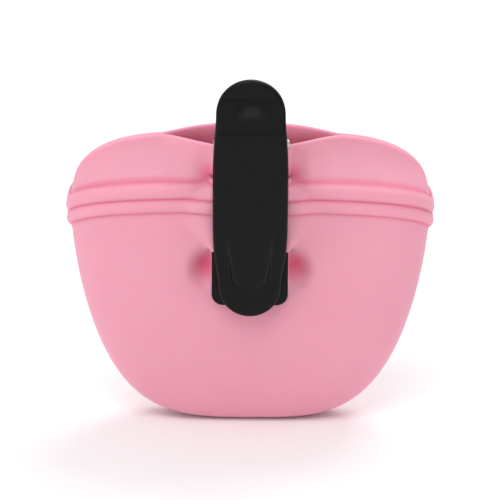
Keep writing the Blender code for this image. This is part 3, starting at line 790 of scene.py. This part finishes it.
def moulded(name, outline, outer, inner, rounding, step, material):
    """A plate cut to an outline of (x, z) points that runs anticlockwise, with z up and x to the right.

    outer(z, x) and inner(z, x) are the y of its two faces, rounding the radii of their edges.
    """
    round_out, round_in = rounding
    outline = np.asarray(outline)
    along = np.roll(outline, -1, axis=0) - np.roll(outline, 1, axis=0)
    along /= np.linalg.norm(along, axis=1)[:, None]
    inward = np.stack([-along[:, 1], along[:, 0]], axis=1)
    reach = max(round_out, round_in)
    offsets = [reach * (1.0 - math.cos(math.radians(angle))) for angle in EDGE_ANGLES]
    spots, depths, edges = [], [], []
    count = len(outline)
    for ring, offset in enumerate(offsets):
        spots.append(outline + inward * offset)
        depths += [offset] * count
        edges += [(ring * count + k, ring * count + (k + 1) % count) for k in range(count)]
    low, high = outline.min(0), outline.max(0)
    grid = []
    for row, z in enumerate(np.arange(low[1], high[1], step * GRID_ROW_SHARE)):
        xs = np.arange(low[0] + (row % 2) * step / 2, high[0], step)
        grid.append(np.stack([xs, np.full_like(xs, z)], axis=1))
    grid = np.concatenate(grid)
    grid = grid[inside_outline(grid, outline)]
    nearest = np.sqrt(((grid[:, None, :] - outline[None, :, :]) ** 2).sum(-1)).min(1)
    grid = grid[nearest > reach + GRID_CLEARANCE * step]
    spots = np.concatenate(spots + [grid])
    depths = np.array(depths + [reach] * len(grid))
    found = delaunay_2d_cdt([Vector(p) for p in spots], edges, [], 1, MERGE_DISTANCE)
    kept = np.array([p[:] for p in found[0]])
    depth = np.array([depths[origin[0]] for origin in found[3]])
    x, z = kept[:, 0], kept[:, 1]

    def drop(radius):
        short = np.maximum(0.0, radius - depth)
        return radius - np.sqrt(np.maximum(0.0, radius**2 - short**2))

    y_out = outer(z, x) - drop(round_out)
    y_in = inner(z, x) + drop(round_in)
    points = np.concatenate([np.stack([x, y_out, z], 1), np.stack([x, y_in, z], 1)])
    size = len(kept)
    faces = [tuple(face) for face in found[2]]
    faces += [tuple(size + k for k in reversed(face)) for face in found[2]]
    used = [pair for face in found[2] for pair in zip(face, face[1:] + face[:1])]
    both_ways = set(used)
    for a, b in used:
        if (b, a) not in both_ways:
            faces.append((b, a, size + a, size + b))
    return make_object(name, points, faces, material)


def ear(x_low, x_high, root_y, material):
    """A drilled tab with a round end about the pin."""
    reach = abs(root_y - PIN[1])
    turn = 1.0 if root_y > PIN[1] else -1.0
    hole, edge = EAR_HOLE_RADIUS, EAR_EDGE
    bevel = 0.3 * edge
    rings = []
    for k in range(EAR_AROUND):
        angle = 2 * math.pi * k / EAR_AROUND
        toward, up = math.cos(angle), math.sin(angle)
        radius = EAR_RADIUS
        if toward > 0:
            radius = min(reach / toward, EAR_RADIUS / max(abs(up), 1e-6))
        section = [
            (x_low + edge, hole),
            (x_low + bevel, hole + bevel),
            (x_low, hole + edge),
            (x_low, radius - edge),
            (x_low + bevel, radius - bevel),
            (x_low + edge, radius),
            (x_high - edge, radius),
            (x_high - bevel, radius - bevel),
            (x_high, radius - edge),
            (x_high, hole + edge),
            (x_high - bevel, hole + bevel),
            (x_high - edge, hole),
        ]
        rings.append([(x, PIN[1] + turn * toward * r, PIN[2] + up * r) for x, r in section])
    return rings_object("ear", rings, material, sharp=CRISP_ANGLE, closed=True)


def join_solids(obj, others):
    """One solid out of obj and the others."""
    for other in others:
        step = obj.modifiers.new("Join", "BOOLEAN")
        step.operation = "UNION"
        step.solver = "EXACT"
        step.object = other
        evaluated = obj.evaluated_get(bpy.context.evaluated_depsgraph_get())
        mesh = bpy.data.meshes.new_from_object(evaluated)
        obj.modifiers.clear()
        obj.data = mesh
        bpy.data.objects.remove(other)
    obj.data.shade_smooth()
    obj.data.set_sharp_from_angle(angle=math.radians(CRISP_ANGLE))


def add_ears(obj, span, root_y):
    ears = []
    for side in (-1, 1):
        x_low, x_high = sorted((side * span[0], side * span[1]))
        ears.append(ear(x_low, x_high, root_y, PLASTIC))
    join_solids(obj, ears)


def mirrored(right_side):
    """A closed outline from its right side, given from bottom to top. Points on x = 0 stay single."""
    left = [(-x, z) for x, z in reversed(right_side) if x > 1e-9]
    return right_side + left


def lever_half_width(z):
    top_centre = LEVER_TOP_Z - LEVER_TOP_RADIUS
    tip_centre = LEVER_TIP_Z + LEVER_TIP_RADIUS
    if z > top_centre:
        return math.sqrt(max(0.0, LEVER_TOP_RADIUS**2 - (z - top_centre) ** 2))
    if z < tip_centre:
        return math.sqrt(max(0.0, LEVER_TIP_RADIUS**2 - (tip_centre - z) ** 2))
    above = z > LEVER_WIDEST_Z
    end_z, end_radius, power = (
        (top_centre, LEVER_TOP_RADIUS, LEVER_UPPER_POWER)
        if above
        else (tip_centre, LEVER_TIP_RADIUS, LEVER_LOWER_POWER)
    )
    share = (z - LEVER_WIDEST_Z) / (end_z - LEVER_WIDEST_Z)
    return LEVER_HALF_WIDTH - (LEVER_HALF_WIDTH - end_radius) * float(smooth(share**power, 0.0, 1.0))


def lever_outline():
    top_centre = LEVER_TOP_Z - LEVER_TOP_RADIUS
    tip_centre = LEVER_TIP_Z + LEVER_TIP_RADIUS
    turns = [math.pi / 2 * k / LEVER_ARC_STEPS for k in range(LEVER_ARC_STEPS + 1)]
    heights = [tip_centre - LEVER_TIP_RADIUS * math.cos(turn) for turn in turns[:-1]]
    heights += list(np.linspace(tip_centre, top_centre, LEVER_SIDE_STEPS))
    heights += [top_centre + LEVER_TOP_RADIUS * math.sin(turn) for turn in turns[1:]]
    right = [(lever_half_width(z), z) for z in heights]
    right[0] = (0.0, LEVER_TIP_Z)
    right[-1] = (0.0, LEVER_TOP_Z)
    return mirrored(right)


def bent_ramp(z):
    """0 below the crease and 1 above the cap's foot, straight between, with small rounding at both ends."""
    ramp = 0.0
    shifts = np.linspace(-1.0, 1.0, BLUR_STEPS) * CREASE_ROUNDING
    for shift in shifts:
        ramp = ramp + np.clip((z + shift - CREASE_Z) / (CAP_Z - CREASE_Z), 0.0, 1.0) / len(shifts)
    return ramp


def lever_back(z):
    """Outside of the lever without its tongue, and how far the bend at its top takes it in."""
    ramp = (LEVER_OUT - CAP_Y) * bent_ramp(z)
    lean = LEVER_LEAN * smooth(TONGUE_TOP_Z - z, 0.0, TONGUE_TOP_Z - LEVER_LEAN_END_Z)
    return LEVER_OUT - lean - ramp, ramp


def lever_outer(z, x):
    flange, ramp = lever_back(z)
    share = np.clip((TONGUE_TOP_Z - z) / (TONGUE_TOP_Z - TONGUE_END_Z), 0.0, 1.0)
    width = TONGUE_HALF_WIDTHS[0] + (TONGUE_HALF_WIDTHS[1] - TONGUE_HALF_WIDTHS[0]) * share
    tongue = LEVER_OUT - ramp - TONGUE_FALL * share * share - TONGUE_DOME * (x / width) ** 2 * share
    end_z = TONGUE_END_Z + TONGUE_END_BOW * (x / width) ** 2
    inside = (1.0 - smooth(np.abs(x) - width, *TONGUE_SIDE)) * smooth(z - end_z, *TONGUE_END)
    surface = flange + np.maximum(0.0, tongue - flange) * inside
    below = SCOOP_TOP_Z - SCOOP_BOW * (x / SCOOP_HALF_WIDTH) ** 2 - z
    scoop = smooth(below, *SCOOP_STEP) * (1.0 - smooth(below, SCOOP_FLOOR, SCOOP_LENGTH))
    scoop = scoop * (1.0 - smooth(np.abs(x), *SCOOP_SIDES))
    return surface - SCOOP_DEPTH * scoop


def lever_inner(z, x):
    arm = lever_back(z)[0] - LEVER_THICKNESS
    ridge = np.maximum(0.0, 1.0 - ((z - JAW_Z) / JAW_HALF_HEIGHT) ** 2)
    return arm + (JAW_Y - arm) * ridge * (1.0 - smooth(np.abs(x), *JAW_ENDS))


def make_lever():
    lever = moulded(
        "lever_shell", lever_outline(), lever_outer, lever_inner, LEVER_ROUNDING, LEVER_GRID, PLASTIC
    )
    add_ears(lever, LEVER_EARS, LEVER_OUT - LEVER_THICKNESS / 2)
    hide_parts("clip_lever")
    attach(lever, "lever")
    return lever


def arc_points(centre, radius, start, end, steps):
    turns = [math.radians(start + (end - start) * k / steps) for k in range(steps + 1)]
    return [(centre[0] + radius * math.cos(a), centre[1] + radius * math.sin(a)) for a in turns]


def plate_outline():
    """The plate's right side from its foot up: round corner, shoulder, straight and round top; mirrored."""
    corner_x, corner_z = FOOT_HALF_WIDTH - FOOT_CORNER, PLATE_FOOT_Z + FOOT_CORNER
    foot_top = PLATE_SHOULDER_Z - SHOULDER_CORNER
    neck = PLATE_SHOULDER_Z + NECK_RISE
    arch_z = PLATE_TOP_Z - PLATE_HALF_WIDTH
    right = [(x, PLATE_FOOT_Z) for x in np.arange(0.0, corner_x - 1e-6, OUTLINE_STEP)]
    right += arc_points((corner_x, corner_z), FOOT_CORNER, -90, 0, CORNER_STEPS)
    straight = np.arange(corner_z + OUTLINE_STEP, foot_top - 0.0001, OUTLINE_STEP)
    right += [(FOOT_HALF_WIDTH, z) for z in straight]
    shoulder_x = FOOT_HALF_WIDTH - SHOULDER_CORNER
    right += arc_points((shoulder_x, foot_top), SHOULDER_CORNER, 0, 90, SHOULDER_STEPS)
    right += [(PLATE_HALF_WIDTH, z) for z in np.arange(neck, arch_z, OUTLINE_STEP)]
    right += arc_points((0.0, arch_z), PLATE_HALF_WIDTH, 1, 90, ARCH_STEPS)
    right[-1] = (0.0, PLATE_TOP_Z)
    return mirrored(right)


def make_plate():
    def lean(z):
        return PLATE_LEAN * np.maximum(0.0, z - PLATE_BEND_Z)

    plate = moulded(
        "plate_shell",
        plate_outline(),
        lambda z, x: PLATE_OUT - lean(z),
        lambda z, x: PLATE_IN - lean(z),
        PLATE_ROUNDING,
        PLATE_GRID,
        PLASTIC,
    )
    add_ears(plate, PLATE_EARS, (PLATE_IN + PLATE_OUT) / 2)
    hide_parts("clip_plate")
    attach(plate, "pouch")
    return plate


def make_pin():
    length = PIN_ENDS[1] - PIN_ENDS[0]
    profile = [(along, PIN_RADIUS * share) for along, share in PIN_DOME]
    profile += [(length - along, PIN_RADIUS * share) for along, share in reversed(PIN_DOME)]
    pin = turned("pin_turned", (PIN_ENDS[0], PIN[1], PIN[2]), (1, 0, 0), profile, STEEL, around=40)
    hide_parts("hinge_pin")
    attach(pin, "pouch")
    return pin


def make_spring():
    steps = round(SPRING_TURNS * STEPS_PER_TURN)
    coil = []
    for step in range(steps + 1):
        share = step / steps
        angle = math.pi + share * SPRING_TURNS * 2 * math.pi
        across = SPRING_RADIUS * np.array((0.0, math.cos(angle), math.sin(angle)))
        coil.append(PIN + across + np.array((SPRING_HALF_LENGTH * (2 * share - 1), 0.0, 0.0)))
    first = np.array((-SPRING_HALF_LENGTH, *SPRING_LEG_ENDS[0]))
    last = np.array((SPRING_HALF_LENGTH, *SPRING_LEG_ENDS[1]))
    leg = [step / SPRING_LEG_STEPS for step in range(SPRING_LEG_STEPS)]
    path = [first + (coil[0] - first) * share for share in leg] + coil
    path += [coil[-1] + (last - coil[-1]) * (share + leg[1]) for share in leg]
    spring = tube("spring_wire", path, WIRE_RADIUS, STEEL)
    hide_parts("torsion_spring")
    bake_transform(spring)
    return spring


# --- Studio --------------------------------------------------------------------------------------------


def make_floor():
    mesh = bpy.data.meshes.new("floor")
    half, z = FLOOR_HALF_SIZE, -BELT_TOP[2] - FLOOR_GAP
    corners = [(-half, -half, z), (half, -half, z), (half, half, z), (-half, half, z)]
    mesh.from_pydata(corners, [], [(0, 1, 2, 3)])
    floor = bpy.data.objects.new("floor", mesh)
    bpy.context.scene.collection.objects.link(floor)
    floor.data.materials.append(floor_look())


def soft_light(name, place, size, power):
    data = bpy.data.lights.new(name, "AREA")
    data.shape = "DISK"
    data.size = size
    data.energy = power
    lamp = bpy.data.objects.new(name, data)
    lamp.location = place
    lamp.rotation_mode = "QUATERNION"
    lamp.rotation_quaternion = (Vector(LAMP_TARGET) - Vector(place)).to_track_quat("-Z", "Y")
    bpy.context.scene.collection.objects.link(lamp)


def make_studio():
    world = bpy.data.worlds.new("studio")
    bpy.context.scene.world = world
    world.use_nodes = True
    sky = world.node_tree.nodes["Background"]
    sky.inputs["Color"].default_value = (1.0, 1.0, 1.0, 1.0)
    sky.inputs["Strength"].default_value = SKY_STRENGTH
    for name, place, size, power in LAMPS:
        soft_light(name, place, size, power)
    view = bpy.context.scene.view_settings
    view.view_transform = "Standard"
    view.look = "None"
    view.exposure = 0.0
    view.gamma = 1.0


def make_camera():
    elevation, roll = math.radians(CAMERA_ELEVATION), math.radians(CAMERA_ROLL)
    back = Vector((0.0, math.cos(elevation), math.sin(elevation)))
    data = bpy.data.cameras.new("camera")
    data.lens, data.sensor_width = CAMERA_LENS, CAMERA_SENSOR
    data.clip_start, data.clip_end = 0.01, 50.0
    camera = bpy.data.objects.new("camera", data)
    camera.location = Vector(CAMERA_TARGET) + back * PICTURE_SPAN * CAMERA_LENS / CAMERA_SENSOR
    camera.rotation_mode = "QUATERNION"
    aim = (-back).to_track_quat("-Z", "Y")
    camera.rotation_quaternion = aim @ Matrix.Rotation(roll, 3, "Z").to_quaternion()
    bpy.context.scene.collection.objects.link(camera)
    bpy.context.scene.camera = camera


make_skin()
back_magnet = make_magnet("magnet_back", 1, "back_magnet")
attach(back_magnet, "pouch")
front_magnet = make_magnet("magnet_front", -1, "front_magnet")
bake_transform(front_magnet)
make_lever()
make_plate()
make_pin()
make_spring()
make_floor()
make_studio()
make_camera()
